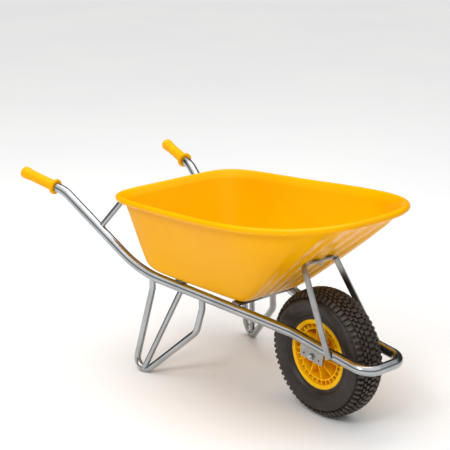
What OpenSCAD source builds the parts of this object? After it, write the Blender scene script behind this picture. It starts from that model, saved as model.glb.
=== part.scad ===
// Builder's wheelbarrow: a deep moulded tray on a frame bent from one round tube,
// with two braced tube legs and one pneumatic wheel in the nose.
// X points forward to the wheel, Y to the left, Z up; the origin is on the floor
// under the middle of the whole barrow. Millimetres and degrees.

/* [Overall] */
// Length from the nose bar to the ends of the grips
overall_length = 1442; // [1400:1:1740]
// Width of the tray over its rim, at the middle of its length
tray_width = 606; // [560:1:740]
// Outside diameter of the tyre
tyre_diameter = 400; // [380:1:480]

/* [Frame tube] */
// Outside diameter of the frame tube
tube_diameter = 32; // [28:0.5:38.5]
// Wall of the frame tube
tube_wall = 1.5; // [1.2:0.1:2.5]
// Distance between the centre lines of the two straight runs beside the wheel
nose_spacing = 162; // [158:1:195]
// Distance from the axle forward to the centre line of the nose bar
nose_reach = 243; // [243:1:300]
// Height of the tube's centre line over the axle
axle_drop = 55; // [48:1:66]
// Rise of the low run towards the handles, seen from the side
low_rise = 6.3; // [4:0.1:7.6]
// Distance from the axle back to where the two runs start to spread
spread_start = 66; // [62:1:80]
// Spread of each run from the centre line, seen from above
spread_angle = 11.67; // [9:0.1:14]
// Distance from the axle back to the middle of the bend up to the handles
handle_start = 663; // [640:1:700]
// Rise of the handles, seen from the side
handle_rise = 33.3; // [27:0.1:40]
// Rise of the straight grip ends, seen from the side
grip_rise = 10.9; // [5:0.1:13.1]
// Length of each grip end from its bend to the end of the grip
grip_run = 198; // [190:1:238]
// Centre line radius of the two nose bends
nose_bend = 50; // [42:1:60]
// Centre line radius of the bends where the runs start to spread
spread_bend = 110; // [80:1:130]
// Centre line radius of the bends up to the handles
handle_bend = 370; // [300:1:450]
// Centre line radius of the bends into the grips
grip_bend = 110; // [80:1:130]

/* [Legs] */
// Outside diameter of the leg tubes
leg_diameter = 22; // [18:0.5:26.5]
// Wall of the leg tubes
leg_wall = 1.5; // [1.2:0.1:2.5]
// Distance from the axle back to the rear end of each leg
leg_rear = 612; // [600:1:630]
// Distance from the axle back to the front end of each leg
leg_front = 409; // [390:1:440]
// Distance from the axle back to the crossing point of a leg's two lower runs
foot_reach = 653; // [640:1:670]
// Distance between the crossing points of the lower runs of the two legs
foot_spacing = 514; // [480:1:540]
// Distance from the axle back to the bend in the front of each leg
leg_knee_reach = 422; // [410:1:440]
// Height of the bend in the front of each leg
leg_knee_height = 178; // [160:1:195]
// Length of the upright stub at the top of each leg, under the frame tube
leg_stub = 27; // [22:1:34]
// Centre line radius of the foot bend
foot_bend = 35; // [32:1:42]
// Centre line radius of the bend in the front of each leg
knee_bend = 45; // [38:1:52]
// Outside diameter of the leg braces
brace_diameter = 19; // [15.8:0.1:22.8]

/* [Cross bars and stays] */
// Thickness of the two flat bars under the tray
bar_thick = 6; // [5:0.1:7.2]
// Width of the two flat bars under the tray
bar_width = 30; // [25:1:36]
// Distance from the axle back to the middle of the front bar
front_bar_reach = 280; // [277:1:288]
// Distance from the axle back to the middle of the rear bar
rear_bar_reach = 505; // [490:1:515]
// Outside diameter of the stays behind the tray
stay_diameter = 19; // [15.8:0.1:22.8]
// Distance from the axle back to the foot of each stay
stay_reach = 836; // [825:1:850]
// Distance between the heads of the two stays
stay_spread = 360; // [340:1:380]

/* [Front bracket] */
// Width of the flat bar
bracket_width = 22; // [18:0.5:26.5]
// Thickness of the flat bar
bracket_thick = 5; // [4:0.1:6]
// Width over the corners beside the cross piece
bracket_span = 137; // [120:1:150]
// Distance from the axle back to the middle of the cross piece
bracket_reach = 45; // [40:1:52]
// Lean of the bracket's two sides from upright
bracket_lean = 32; // [28:0.5:36]

/* [Axle] */
// Diameter of the axle bolt
axle_diameter = 12; // [10:0.5:14]
// Thickness of the axle plates
plate_thick = 5; // [4:0.1:6]
// Length of the axle plates along the tube
plate_length = 95; // [84:1:114]
// Length of axle plate below the axle
plate_margin = 13; // [11:0.5:15.6]
// Diameter of the two spare holes in each axle plate
spare_hole_diameter = 6.6; // [5.5:0.1:8]
// Distance between the two spare holes
spare_hole_spacing = 64; // [58:1:70]
// Outside diameter of the tube that the wheel turns on
sleeve_diameter = 20; // [18:0.5:24]

/* [Wheel] */
// Width of the tyre
tyre_width = 113; // [100:1:118]
// Diameter of the rim over its flanges
rim_diameter = 218; // [200:1:232]
// Width of the rim over its flanges
rim_width = 81; // [72:1:88]
// Length of the wheel hub
hub_length = 100; // [88:1:106]
// Outside diameter of the wheel hub
hub_diameter = 44; // [40:1:52]
// Number of ribs between the hub and the ring on each side
rib_count = 10; // [6:1:12]
// Number of short ribs that divide the pockets behind each flange
pocket_count = 30; // [20:1:36]

/* [Tray] */
// Length of the tray over its rim
tray_length = 960; // [940:1:990]
// Distance from the axle back to the rear edge of the rim
tray_rear = 769; // [760:1:780]
// Distance from the axle back to the middle of the tray's length
tray_middle = 325; // [315:1:335]
// Height of the rim's centre line at the middle of the tray's length
rim_height = 604; // [585:1:650]
// Upward slope of the rim towards the front
rim_slope = 5; // [3:0.1:6]
// Extra rise of the rim's front end above a straight slope
rim_front_lift = 9; // [4:1:12]
// Widening of the rim towards the front, on each side
rim_taper = 3.1; // [2:0.1:4]
// Radius of the rolled rim
rim_roll = 10.5; // [9:0.1:12.6]
// Wall of the tray
tray_wall = 4; // [3:0.1:5]
// Distance from the axle back to the front edge of the tray floor
floor_front = 252; // [248:1:256]
// Distance from the axle back to the rear wall's line at the floor
floor_rear = 664; // [655:1:672]
// Rounding between the tray's floor and walls, along each
floor_round = 34; // [28:1:41]
// Number of corrugations in the tray's front wall
corrugations = 7; // [5:1:9]
// Depth of the corrugations
corrugation_depth = 5; // [3:0.5:6]

/* [Grips] */
// Diameter of the grip body
grip_diameter = 37; // [36:0.5:44]
// Diameter of the bulged grip end
grip_end_diameter = 41; // [40:0.5:50]
// Diameter of the hand guard
guard_diameter = 53; // [50:0.5:64]
// Thickness of the hand guard
guard_thick = 11; // [9:0.5:13]
// Length of the grip from its end to the middle of the guard
grip_length = 152; // [145:1:160]

/* [Fasteners and fits] */
// Diameter of the tray bolts
tray_bolt_diameter = 8; // [6:0.5:9.6]
// Radial play of a bolt in its hole
bolt_play = 0.4; // [0.3:0.05:0.6]
// Radial running fit of the wheel's bushes on the sleeve
running_fit = 0.05; // [0.03:0.01:0.09]
// Gap left where a curved piece is seated on another
seat_gap = 0.3; // [0.2:0.05:0.4]
// Gap left between a flange and the face beside it where the wheel turns
side_play = 0.5; // [0.4:0.1:0.8]

/* [Hidden] */
$fn = 64;

// colours
zinc = [0.76, 0.77, 0.78];
bright_steel = [0.66, 0.67, 0.69];
yellow = [1.0, 0.69, 0.0];
black_rubber = [0.13, 0.11, 0.10];
nylon = [0.85, 0.84, 0.80];
brass = [0.78, 0.62, 0.30];

// frame places
tube_r = tube_diameter / 2;
leg_r = leg_diameter / 2;
brace_r = brace_diameter / 2;
stay_r = stay_diameter / 2;
axle_z = tyre_diameter / 2;
nose_x = overall_length / 2 - tube_r;
axle_x = nose_x - nose_reach;
nose_half = nose_spacing / 2;
nose_z = axle_z + axle_drop - nose_reach * tan(low_rise);
spread_x = axle_x - spread_start;
bend_x = axle_x - handle_start;

// Distance of the run's centre line from the middle plane at x.
function run_y(x) = nose_half + max(0, spread_x - x) * tan(spread_angle);
// Height of the low run's straight centre line at x.
function low_z(x) = nose_z + (nose_x - x) * tan(low_rise);
// Height of the handle's straight centre line at x.
function handle_z(x) = low_z(bend_x) + (bend_x - x) * tan(handle_rise);
function unit(v) = v / norm(v);

// grip places: the rounded grip end just reaches the overall length
grip_wall = 2;
grip_r = max(grip_diameter / 2, tube_r + grip_wall);
grip_end_r = max(grip_end_diameter / 2, grip_r);
grip_end_round = 8;
grip_cap = 4;
grip_dir = unit([-1, tan(spread_angle), tan(grip_rise)]);
grip_side = sqrt(1 - pow(grip_dir.x, 2));
grip_tip_x = -overall_length / 2 + (grip_end_r - grip_end_round) * grip_side
    + grip_end_round + grip_end_round * grip_dir.x;
grip_bend_x = grip_tip_x - grip_run * grip_dir.x;
grip_bend_p = [grip_bend_x, run_y(grip_bend_x), handle_z(grip_bend_x)];
grip_tip = grip_bend_p + grip_run * grip_dir;
tube_end = grip_tip - grip_cap * grip_dir;

// Mirrors a point to the other side.
function other_side(p) = [p.x, -p.y, p.z];
left_run = [tube_end, grip_bend_p, [bend_x, run_y(bend_x), low_z(bend_x)],
            [spread_x, nose_half, low_z(spread_x)], [nose_x, nose_half, nose_z]];
frame_path = concat(left_run, [for (i = [4 : -1 : 0]) other_side(left_run[i])]);
frame_bends = [grip_bend, handle_bend, spread_bend, nose_bend,
               nose_bend, spread_bend, handle_bend, grip_bend];

// Lowest height of a bent tube's surface at the bend q between points p and s.
function bend_low(p, q, s, bend, r) =
    let (d0 = unit(q - p), d1 = unit(s - q), turn = acos(d0 * d1),
         inward = unit(d1 - d0 * (d0 * d1)), axis = unit(cross(d0, d1)),
         centre = q - d0 * bend * tan(turn / 2) + inward * bend)
    centre.z - bend * sqrt(1 - pow(axis.z, 2)) - r;
// Lowers or lifts the crossing point q until the bend just meets the floor.
function foot_corner(p, q, s, tries) = tries == 0 ? q :
    foot_corner(p, [q.x, q.y, q.z - bend_low(p, q, s, foot_bend, leg_r)], s, tries - 1);

// Height of the run's centre line at x, with its bend up to the handle.
handle_tangent = handle_bend * tan((handle_rise - low_rise) / 2);
function run_height(x) =
    let (from = bend_x + handle_tangent * cos(low_rise), into = max(0, from - x))
    low_z(x) + into * into / (2 * handle_bend) / cos(low_rise);

// leg path on the left side, from its rear top to its front top
leg_rear_x = axle_x - leg_rear;
leg_front_x = axle_x - leg_front;
leg_knee_x = axle_x - leg_knee_reach;
leg_rear_top = [leg_rear_x, run_y(leg_rear_x), run_height(leg_rear_x)];
leg_front_top = [leg_front_x, run_y(leg_front_x), run_height(leg_front_x)];
leg_rear_stub = leg_rear_top - [0, 0, tube_r + leg_stub];
leg_front_stub = leg_front_top - [0, 0, tube_r + leg_stub];
knee_splay = 0.43;
knee_share = (leg_front_stub.z - leg_knee_height) / leg_front_stub.z;
leg_knee = [leg_knee_x,
            leg_front_stub.y + knee_share * (foot_spacing / 2 - leg_front_stub.y) * knee_splay,
            leg_knee_height];
stub_bend = 30;
leg_foot = foot_corner(leg_rear_stub, [axle_x - foot_reach, foot_spacing / 2, 0], leg_knee, 12);
leg_path = [leg_rear_top, leg_rear_stub, leg_foot, leg_knee, leg_front_stub, leg_front_top];
leg_bends = [stub_bend, foot_bend, knee_bend, stub_bend];

// places of the bars, braces and stays
front_bar_x = axle_x - front_bar_reach;
rear_bar_x = axle_x - rear_bar_reach;
bar_lift = tube_r / cos(low_rise) + bar_thick / cos(low_rise);
brace_clear = 7;
brace_top = [rear_bar_x, run_y(rear_bar_x) - tube_r - brace_r - brace_clear,
             low_z(rear_bar_x) + tube_r];
brace_foot_ahead = 47;
brace_foot_in = 17;
foot_centre = [leg_foot.x + brace_foot_ahead, leg_foot.y - brace_foot_in, leg_r];

// places of the wheel's parts along the axle
plate_out = nose_half - tube_r;
plate_in = plate_out - plate_thick;
hub_half = hub_length / 2;
bush_flange = 2.5;
bush_depth = 14;
bush_r = sleeve_diameter / 2 + 4;
bolt_head = 7;
hex_r = 10.4;
thread_end = 3;
thread_gap = 0.05;
press_gap = 0.05;
sleeve_end_gap = 0.1;
sleeve_half = plate_in - sleeve_end_gap;
spacer_wall = 5;
bush_flange_wide = 5;

// tray places, on rings around the middle plane
rim_mid_x = axle_x - tray_middle;
rim_ahead = tray_length - tray_rear + tray_middle - rim_roll;
rim_behind = tray_rear - tray_middle - rim_roll;
rim_half = tray_width / 2 - rim_roll;
wall_inset = rim_roll + 2;
floor_mid_x = axle_x - (floor_rear + floor_front) / 2;
floor_edge = 2;
floor_flare = 0.06;
// Height of the tray floor's underside at x.
function floor_z(x) = low_z(x) + bar_lift + seat_gap;
// Height of the rim's centre line at x.
function rim_z(x) = rim_height + (x - rim_mid_x) * tan(rim_slope)
    + rim_front_lift * pow((x - rim_mid_x) / rim_ahead, 2);
// Half width of the rim's centre line at x, and of the floor's line with the side walls.
function rim_side(x) = rim_half + (x - rim_mid_x) * tan(rim_taper);
function floor_side(x) = run_y(x) - floor_edge + floor_flare * (axle_x - floor_front - x);

ring_front = 56;
ring_side = 16;
ring_rear = 16;
ring_count = ring_front + 2 * ring_side + ring_rear;
floor_front_power = 14;
floor_rear_power = 4.5;
rim_front_power = 2.7;
rim_rear_power = 7;
power_fade = 0.65;

// Point i of the square that each ring is shaped from: the front edge, left side,
// rear edge and right side in turn, each coordinate from -1 to 1.
function square_point(i) =
    i < ring_front ? [1, -1 + 2 * i / ring_front] :
    i < ring_front + ring_side ? [1 - 2 * (i - ring_front) / ring_side, 1] :
    i < ring_front + ring_side + ring_rear
        ? [-1, 1 - 2 * (i - ring_front - ring_side) / ring_rear] :
    [-1 + 2 * (i - ring_front - ring_side - ring_rear) / ring_side, -1];
// How square the corners are at a share of the wall's height. They soften upwards.
function corner_power(ahead, share) =
    ahead ? floor_front_power + (rim_front_power - floor_front_power) * pow(share, power_fade)
          : floor_rear_power + (rim_rear_power - floor_rear_power) * pow(share, power_fade);
// The same point drawn in to a square with round corners.
function round_point(i, share) =
    let (s = square_point(i), power = corner_power(s.x > 0, share))
    s / pow(pow(abs(s.x), power) + pow(abs(s.y), power), 1 / power);

// A point on the line where the floor would meet the walls if it met them sharply.
function floor_point(i, share, inset) =
    let (p = round_point(i, share), half = (floor_rear - floor_front) / 2 - inset,
         x = floor_mid_x + p.x * half)
    [x, p.y * (floor_side(x) - inset), floor_z(x)];
// A point on the top of the wall, inside the rolled rim.
function wall_point(i, share, inset) =
    let (p = round_point(i, share), reach = p.x > 0 ? rim_ahead : rim_behind,
         x = rim_mid_x + p.x * (reach - wall_inset - inset))
    [x, p.y * (rim_side(x) - wall_inset - inset), rim_z(x)];
// A point on the rolled rim, at an angle round the roll from its outer side.
function rim_point(i, turn, radius) =
    let (p = round_point(i, 1), reach = p.x > 0 ? rim_ahead : rim_behind,
         power = corner_power(p.x > 0, 1),
         c = [rim_mid_x + p.x * reach, p.y * rim_side(rim_mid_x + p.x * reach)],
         n = unit([p.x * pow(abs(p.x), power - 2) / reach,
                   p.y * pow(abs(p.y), power - 2) / rim_half]))
    [c.x + n.x * radius * cos(turn), c.y + n.y * radius * cos(turn),
     rim_z(c.x) + radius * sin(turn)];

// How far point i lies within the front wall, from 0 at its ends to 1.
function front_share(i, steepness) = i <= ring_front
    ? min(1, steepness * pow(sin(180 * i / ring_front), 2)) : 0;
// Depth of the corrugations at point i, as round waves across the front wall.
function corrugation(i) = front_share(i, 4) * (1 - cos(360 * corrugations * i / ring_front)) / 2;
// A point on the wall's line from the floor to the rim, bowed up in the front's middle.
front_bow = 8;
wave_lean = 37;
function wall_line(i, share, inset) =
    let (low = floor_point(i, share, inset), high = wall_point(i, share, inset),
         bow = front_share(i, 1.6) * front_bow * 4 * share * (1 - share),
         wave = corrugation_depth * corrugation(i) * min(1, 5 * share, 5 * (1 - share)))
    low + (high - low) * share + [wave * sin(wave_lean), 0, bow - wave * cos(wave_lean)];
// A point on the rounding between the floor and the wall.
wall_start = floor_round / 300;
function rounding_point(i, share, inset) =
    let (corner = floor_point(i, 0, inset), on_wall = wall_line(i, wall_start, inset),
         x = corner.x + (floor_mid_x - corner.x) * wall_start,
         flat = [x, corner.y * (1 - wall_start), floor_z(x)])
    flat * pow(1 - share, 2) + corner * 2 * share * (1 - share) + on_wall * pow(share, 2);

round_steps = 5;
wall_steps = 6;
wall_end = 0.95;
outer_rings = [
    for (k = [0 : round_steps]) [for (i = [0 : ring_count - 1])
        rounding_point(i, k / round_steps, 0)],
    for (k = [1 : wall_steps]) [for (i = [0 : ring_count - 1])
        wall_line(i, wall_start + (wall_end - wall_start) * k / wall_steps, 0)]];
lip_rings = [
    for (turn = [150, 100, 50, 10, -30, -60]) [for (i = [0 : ring_count - 1])
        rim_point(i, turn, rim_roll - tray_wall)],
    for (turn = [-60, -20, 20, 60, 100, 140]) [for (i = [0 : ring_count - 1])
        rim_point(i, turn, rim_roll)]];
inner_rings = [
    for (k = [wall_steps : -1 : 1]) [for (i = [0 : ring_count - 1])
        wall_line(i, wall_start + (wall_end - wall_start) * k / wall_steps, tray_wall)
            + [0, 0, 1]],
    for (k = [round_steps : -1 : 0]) [for (i = [0 : ring_count - 1])
        rounding_point(i, k / round_steps, tray_wall) + [0, 0, tray_wall]]];
tray_rings = concat(outer_rings, lip_rings, inner_rings);

// Joins rings of points into one closed solid, with a flat end at each end.
module lofted(rings) {
    n = len(rings[0]);
    last = (len(rings) - 1) * n;
    sides = [for (k = [0 : len(rings) - 2]) for (i = [0 : n - 1])
        let (a = k * n + i, b = k * n + (i + 1) % n)
        for (face = [[a, a + n, b], [b, a + n, b + n]]) face];
    start = [[for (i = [0 : n - 1]) i]];
    end = [[for (i = [n - 1 : -1 : 0]) last + i]];
    polyhedron([for (ring = rings) for (p = ring) p], concat(start, sides, end));
}

// Moves what stands along Z at the origin to lie from p along direction d, with its
// own X axis towards x_dir.
module placed(p, d, x_dir) {
    z = unit(d);
    x = unit(x_dir - z * (x_dir * z));
    y = cross(z, x);
    multmatrix([[x.x, y.x, z.x, p.x], [x.y, y.y, z.y, p.y], [x.z, y.z, z.z, p.z], [0, 0, 0, 1]])
        children();
}

// Any direction that isn't along d.
function aside(d) = abs(unit(d).z) < 0.9 ? [0, 0, 1] : [1, 0, 0];
// Length that a bend takes from each straight run beside it.
function bend_take(path, bends, i) = i == 0 || i == len(path) - 1 ? 0 :
    bends[i - 1] * tan(acos(unit(path[i] - path[i - 1]) * unit(path[i + 1] - path[i])) / 2);

// A round bar along a path of points, with a bend of its own radius at each inner one.
// A thin ring covers each place where a straight run passes into a bend.
joint_ring = 1.5;
joint_skin = 0.1;
module bent_bar(path, bends, r) {
    last = len(path) - 1;
    for (i = [0 : last - 1]) {
        d = unit(path[i + 1] - path[i]);
        from_gap = i == 0 ? 0 : bend_take(path, bends, i) + joint_ring / 3;
        to_gap = i == last - 1 ? 0 : bend_take(path, bends, i + 1) + joint_ring / 3;
        placed(path[i] + d * from_gap, d, aside(d))
            cylinder(h = norm(path[i + 1] - path[i]) - from_gap - to_gap, r = r);
    }
    for (i = [1 : last - 1]) {
        d0 = unit(path[i] - path[i - 1]);
        d1 = unit(path[i + 1] - path[i]);
        take = bend_take(path, bends, i);
        bend = bends[i - 1];
        inward = unit(d1 - d0 * (d0 * d1));
        placed(path[i] - d0 * take + inward * bend, cross(d0, d1), -inward)
            rotate_extrude(angle = acos(d0 * d1)) translate([bend, 0]) circle(r = r);
        placed(path[i] - d0 * (take + joint_ring), d0, aside(d0))
            cylinder(h = 2 * joint_ring, r = r + joint_skin);
        placed(path[i] + d1 * (take - joint_ring), d1, aside(d1))
            cylinder(h = 2 * joint_ring, r = r + joint_skin);
    }
}

// The same path with its two ends carried on a little further.
function longer(path) =
    let (last = len(path) - 1)
    [for (i = [0 : last])
        i == 0 ? path[0] + unit(path[0] - path[1]) :
        i == last ? path[last] + unit(path[last] - path[last - 1]) : path[i]];

// A tube along the same kind of path, open at both ends.
module bent_tube(path, bends, r, wall) {
    difference() {
        bent_bar(path, bends, r);
        bent_bar(longer(path), bends, r - wall);
    }
}

// A straight tube from p to q.
module straight_tube(p, q, r, wall) {
    placed(p, q - p, aside(q - p)) difference() {
        cylinder(h = norm(q - p), r = r);
        translate([0, 0, -1]) cylinder(h = norm(q - p) + 2, r = r - wall);
    }
}

// Draws a part for the left side, or mirrored for the right side.
module on_side(side) {
    if (side > 0) children();
    else mirror([0, 1, 0]) children();
}

module frame_tube() {
    color(zinc) bent_tube(frame_path, frame_bends, tube_r, tube_wall);
}

// The frame tube's outside near the legs and stays, grown to cut what is welded to it.
module run_cutter() {
    bent_bar([left_run[1], left_run[2], left_run[3]], [handle_bend], tube_r + seat_gap);
}

// A leg is one tube bent down from the rear, round the foot and up to the front.
module leg(side) {
    color(zinc) on_side(side) difference() {
        bent_tube(leg_path, leg_bends, leg_r, leg_wall);
        run_cutter();
    }
}

// A brace ties the inside of the foot to the bar under the tray.
module leg_brace(side) {
    color(zinc) on_side(side) difference() {
        straight_tube(foot_centre, brace_top + (brace_top - foot_centre) * 0.1,
                      brace_r, leg_wall);
        bent_bar([leg_path[1], leg_path[2], leg_path[3]], [foot_bend], leg_r + seat_gap);
        placed([brace_top.x, brace_top.y, low_z(brace_top.x) + tube_r / cos(low_rise) - seat_gap],
               [tan(low_rise), 0, 1], [1, 0, 0])
            translate([-3 * brace_diameter, -3 * brace_diameter, 0])
            cube([6 * brace_diameter, 6 * brace_diameter, 3 * brace_diameter]);
    }
}

// A flat bar that lies across the two runs, under the tray floor.
module cross_bar(x) {
    half = run_y(x);
    color(zinc) placed([x, 0, low_z(x) + tube_r / cos(low_rise)], [tan(low_rise), 0, 1], [1, 0, 0])
        difference() {
            translate([-bar_width / 2, -half, 0]) cube([bar_width, 2 * half, bar_thick]);
            for (side = [-1, 1]) translate([-floor_bolt_back, side * floor_bolt_y(x), -1])
                cylinder(h = bar_thick + 2, d = tray_bolt_diameter + 2 * bolt_play);
        }
}
// Distance of the floor bolts from the middle plane, on the bar at x. They stand a
// little behind the bar's middle, clear of the rounding at the floor's front edge.
floor_bolt_back = 6;
floor_bolt_share = 0.62;
function floor_bolt_y(x) = run_y(x) * floor_bolt_share;

// A stay holds the rolled rim up from the handle.
stay_foot = [axle_x - stay_reach, run_y(axle_x - stay_reach), handle_z(axle_x - stay_reach)];
stay_head_x = rim_mid_x - rim_behind - 2;
stay_head = [stay_head_x, stay_spread / 2, rim_z(stay_head_x) - rim_roll - seat_gap];
module tray_stay(side) {
    color(zinc) on_side(side) difference() {
        straight_tube(stay_foot, stay_head + (stay_head - stay_foot) * 0.2, stay_r, leg_wall);
        run_cutter();
        translate([stay_head.x - stay_diameter, stay_head.y - 2 * stay_diameter, stay_head.z])
            cube([3 * stay_diameter, 4 * stay_diameter, 2 * stay_diameter]);
    }
}

// The front bracket is one flat bar bent to a U. Its cross piece lies on the tray's
// front wall and its sides stand on the outsides of the two runs.
bracket_bend = 9;
wall_foot = floor_point(ring_front / 2, 0, 0);
wall_head = wall_point(ring_front / 2, 0, 0);
seat_share = (axle_x - bracket_reach - wall_foot.x) / (wall_head.x - wall_foot.x);
wall_seat = wall_line(ring_front / 2, seat_share, 0);
wall_above = wall_line(ring_front / 2, seat_share + 0.05, 0);
wall_slope = atan2(wall_above.z - wall_seat.z, wall_above.x - wall_seat.x);
bracket_along = [cos(bracket_lean), 0, sin(bracket_lean)];
bracket_down = [sin(bracket_lean), 0, -cos(bracket_lean)];
bracket_gap = bracket_width / 2 * tan(abs(wall_slope - bracket_lean)) + seat_gap;
bracket_mid = wall_seat + bracket_down * (bracket_gap + bracket_thick / 2);
bracket_foot_ahead = 90;
bracket_foot_drop = 8;
bracket_foot = low_z(axle_x + bracket_foot_ahead) - bracket_foot_drop;
bracket_drop = (bracket_mid.z - bracket_foot) / cos(bracket_lean);
corner_half = (bracket_span - bracket_thick) / 2;
bracket_foot_clear = 3;
foot_half = nose_half + tube_r + bracket_thick / 2 + seat_gap + bracket_foot_clear;
bracket_spread = atan((foot_half - corner_half) / bracket_drop);
bracket_turn = 90 - bracket_spread;
bracket_arc = [bracket_bend, corner_half - bracket_bend * tan(bracket_turn / 2)];
// Points round a corner of the bracket, at a distance off the middle of its thickness.
function corner_points(off) = [for (a = [0 : bracket_turn / 8 : bracket_turn + 0.01])
    bracket_arc + (bracket_bend + off) * [-cos(a), sin(a)]];
// One side's outline, from the foot's point to the cross piece.
function side_points(off) = concat(
    [[bracket_drop, foot_half] + off * [-sin(bracket_spread), cos(bracket_spread)]],
    [for (i = [8 : -1 : 0]) corner_points(off)[i]]);
function flipped(points) = [for (i = [len(points) - 1 : -1 : 0]) [points[i].x, -points[i].y]];
module front_bracket() {
    outer = side_points(bracket_thick / 2);
    inner = side_points(-bracket_thick / 2);
    color(zinc) difference() {
        placed(bracket_mid - bracket_along * bracket_width / 2, bracket_along, bracket_down)
            linear_extrude(bracket_width)
            polygon(concat(outer, flipped(outer), [for (p = inner) [p.x, -p.y]],
                           [for (i = [len(inner) - 1 : -1 : 0]) inner[i]]));
        placed(bracket_mid - bracket_down * bracket_thick, bracket_down, bracket_along)
            cylinder(h = 2 * bracket_thick, d = tray_bolt_diameter + 2 * bolt_play);
    }
}

// A hexagon nut's or head's outline round the Z axis.
module hexagon(r, h) {
    cylinder(h = h, r = r, $fn = 6);
}

// An axle plate hangs inside the run, drawn with the axle at the origin and X along the
// tube. It has a spare hole on each side of the axle.
plate_chamfer = 4;
module axle_plate(side) {
    half = plate_length / 2;
    color(zinc) translate([axle_x, side * plate_out, axle_z])
        rotate([90, low_rise, 0]) translate([0, 0, side > 0 ? 0 : -plate_thick])
        difference() {
            linear_extrude(plate_thick) polygon([
                [-half, axle_drop], [-half, plate_chamfer - plate_margin],
                [plate_chamfer - half, -plate_margin], [half - plate_chamfer, -plate_margin],
                [half, plate_chamfer - plate_margin], [half, axle_drop]]);
            translate([0, 0, -1]) cylinder(h = plate_thick + 2, r = axle_diameter / 2 + bolt_play);
            for (end = [-1, 1]) translate([end * spare_hole_spacing / 2, 0, -1])
                cylinder(h = plate_thick + 2, d = spare_hole_diameter);
        }
}

// Turns what stands along Z at the origin to lie along the axle, from y outwards.
module on_axle(y, side = 1) {
    translate([axle_x, y, axle_z]) rotate([side > 0 ? -90 : 90, 0, 0]) children();
}

// The axle bolt has its head on the left and its nut on the right.
module axle_bolt() {
    color(bright_steel) on_axle(plate_out + bolt_head, -1) {
        hexagon(hex_r, bolt_head);
        cylinder(h = 2 * plate_out + 2 * bolt_head + thread_end, d = axle_diameter);
    }
}

module axle_nut() {
    color(bright_steel) on_axle(-plate_out, -1) difference() {
        hexagon(hex_r, bolt_head);
        translate([0, 0, -1]) cylinder(h = bolt_head + 2, r = axle_diameter / 2 + thread_gap);
    }
}

module axle_sleeve() {
    color(bright_steel) on_axle(-sleeve_half) difference() {
        cylinder(h = 2 * sleeve_half, d = sleeve_diameter);
        translate([0, 0, -1])
            cylinder(h = 2 * sleeve_half + 2, r = axle_diameter / 2 + bolt_play);
    }
}

// A spacer keeps the turning hub clear of each axle plate.
spacer_from = hub_half + bush_flange + side_play;
module axle_spacer(side) {
    color(bright_steel) on_axle(side * spacer_from, side) difference() {
        cylinder(h = sleeve_half - spacer_from, r = sleeve_diameter / 2 + spacer_wall);
        translate([0, 0, -1])
            cylinder(h = sleeve_half - spacer_from + 2, r = sleeve_diameter / 2 + running_fit);
    }
}

// The hub bush is a flanged sleeve pressed into each end of the hub.
module hub_bush(side) {
    color(nylon) on_axle(side * (hub_half - bush_depth), side) difference() {
        union() {
            cylinder(h = bush_depth + bush_flange, r = bush_r);
            translate([0, 0, bush_depth])
                cylinder(h = bush_flange, r = bush_r + bush_flange_wide);
        }
        translate([0, 0, -1])
            cylinder(h = bush_depth + bush_flange + 2, r = sleeve_diameter / 2 + running_fit);
    }
}

// wheel rim sizes
rim_r = rim_diameter / 2;
flange_depth = 7.5;
bead_r = rim_r - flange_depth;
barrel_wall = 5;
flange_thick = 4;
rim_half_w = rim_width / 2;
pocket_depth = 14;
ring_wall = 3.5;
ring_r = bead_r - barrel_wall - pocket_depth;
web_thick = 6;
rib_thick = 3.5;
valve_side = 16;
valve_r = 4;
valve_clear = 0.3;
valve_out = 12;
rib_turn = 90 / rib_count;
valve_turn = rib_turn + 180 / rib_count;
ring_inset = 6;
rib_drop_out = 9;
rib_drop_in = 8;
bite = 1;

module wheel_rim() {
    color(yellow) on_axle(0) difference() {
        union() {
            rotate_extrude($fn = 96) {
                translate([bead_r - barrel_wall, -rim_half_w]) square([barrel_wall, rim_width]);
                for (side = [-1, 1]) {
                    translate([bead_r - barrel_wall, side * (rim_half_w - flange_thick / 2)
                               - flange_thick / 2])
                        square([flange_depth + barrel_wall, flange_thick]);
                }
                translate([ring_r - ring_wall, -rim_half_w + ring_inset])
                    square([ring_wall, rim_width - 2 * ring_inset]);
                translate([bush_r + bite, -web_thick / 2])
                    square([bead_r - bush_r - 2 * bite, web_thick]);
                translate([bush_r + press_gap, -hub_half])
                    square([hub_diameter / 2 - bush_r - press_gap, hub_length]);
            }
            for (side = [-1, 1]) for (i = [0 : rib_count - 1])
                rotate([side * 90, 0, rib_turn + i * 360 / rib_count])
                translate([0, 0, -rib_thick / 2]) linear_extrude(rib_thick) polygon([
                    [hub_diameter / 2 - bite, 0], [ring_r - bite, 0],
                    [ring_r - bite, rim_half_w - rib_drop_out],
                    [hub_diameter / 2 - bite, hub_half - rib_drop_in]]);
            for (i = [0 : pocket_count - 1])
                rotate([0, 0, valve_turn + (i + 0.5) * 360 / pocket_count])
                translate([ring_r - bite, -rib_thick / 2, -rim_half_w + ring_inset])
                cube([pocket_depth + 2 * bite, rib_thick, rim_width - 2 * ring_inset]);
        }
        rotate([0, 0, valve_turn]) translate([ring_r - 2 * ring_wall, 0, valve_side])
            rotate([0, 90, 0]) cylinder(h = 3 * pocket_depth, r = valve_r + valve_clear);
    }
}

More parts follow.
